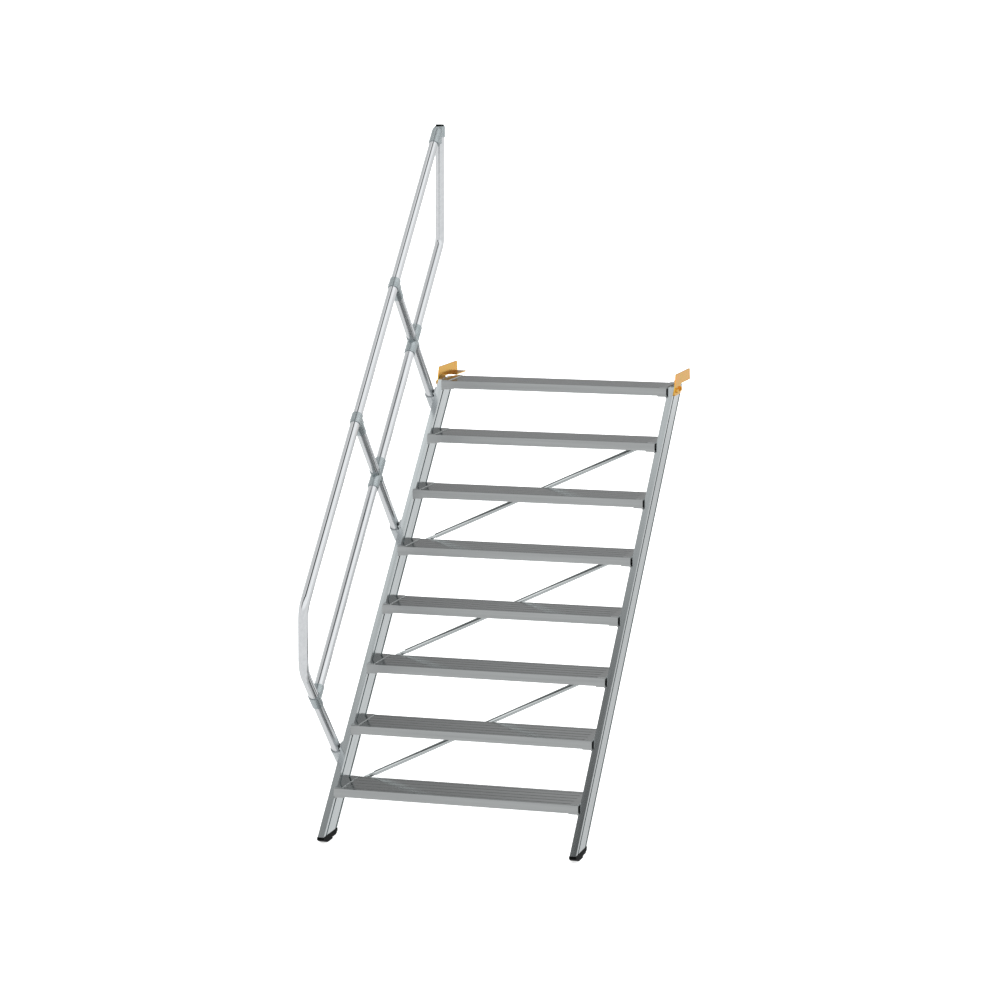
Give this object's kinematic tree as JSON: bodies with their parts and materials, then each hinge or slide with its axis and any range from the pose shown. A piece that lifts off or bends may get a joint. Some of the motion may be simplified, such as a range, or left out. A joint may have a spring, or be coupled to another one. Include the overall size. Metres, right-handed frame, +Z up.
{
  "type": "aluminium stair with a handrail",
  "caption": "Straight open-riser aluminium stair: ribbed treads between box stringers, bent tube handrail with knee rail on the left, plastic feet and hook brackets at the top.",
  "frame": {"origin": "middle of the right hook bracket's flat seat, on its underside", "axes": "+Z up, +Y back along the going, away from the foot of the stair, +X to the right of someone climbing"},
  "size_m": [1.1127, 2.018, 2.769],
  "materials": {
    "extruded_aluminium": "mill-finished extrusion, fine lengthwise die lines",
    "tube_aluminium": "drawn tube, satin bright",
    "cast_fitting": "cast, matt grey",
    "yellow_zinc_steel": "pressed steel, yellow zinc plated",
    "black_plastic": "moulded, fine grain"
  },
  "bodies": {
    "root": {"tread_1": "extruded_aluminium", "tread_2": "extruded_aluminium", "tread_3": "extruded_aluminium", "tread_4": "extruded_aluminium", "tread_5": "extruded_aluminium", "tread_6": "extruded_aluminium", "tread_7": "extruded_aluminium", "tread_8": "extruded_aluminium", "left_stringer": "extruded_aluminium", "right_stringer": "extruded_aluminium", "left_tread_cleats": "extruded_aluminium", "right_tread_cleats": "extruded_aluminium", "top_rail": "tube_aluminium", "knee_rail": "tube_aluminium", "post_1": "tube_aluminium", "post_2_lower": "tube_aluminium", "post_2_upper": "tube_aluminium", "post_3_lower": "tube_aluminium", "post_3_upper": "tube_aluminium", "diagonal_brace_1": "tube_aluminium", "diagonal_brace_2": "tube_aluminium", "diagonal_brace_3": "tube_aluminium", "rail_end_fitting": "cast_fitting", "rail_corner_fitting": "cast_fitting", "rail_cross_2": "cast_fitting", "rail_cross_3": "cast_fitting", "rail_tee_2": "cast_fitting", "rail_tee_3": "cast_fitting", "post_bracket_1": "cast_fitting", "post_bracket_2": "cast_fitting", "post_bracket_3": "cast_fitting", "left_hook_bracket": "yellow_zinc_steel", "right_hook_bracket": "yellow_zinc_steel", "left_foot": "black_plastic", "right_foot": "black_plastic", "rail_cap": "black_plastic"}
  },
  "joints": []
}
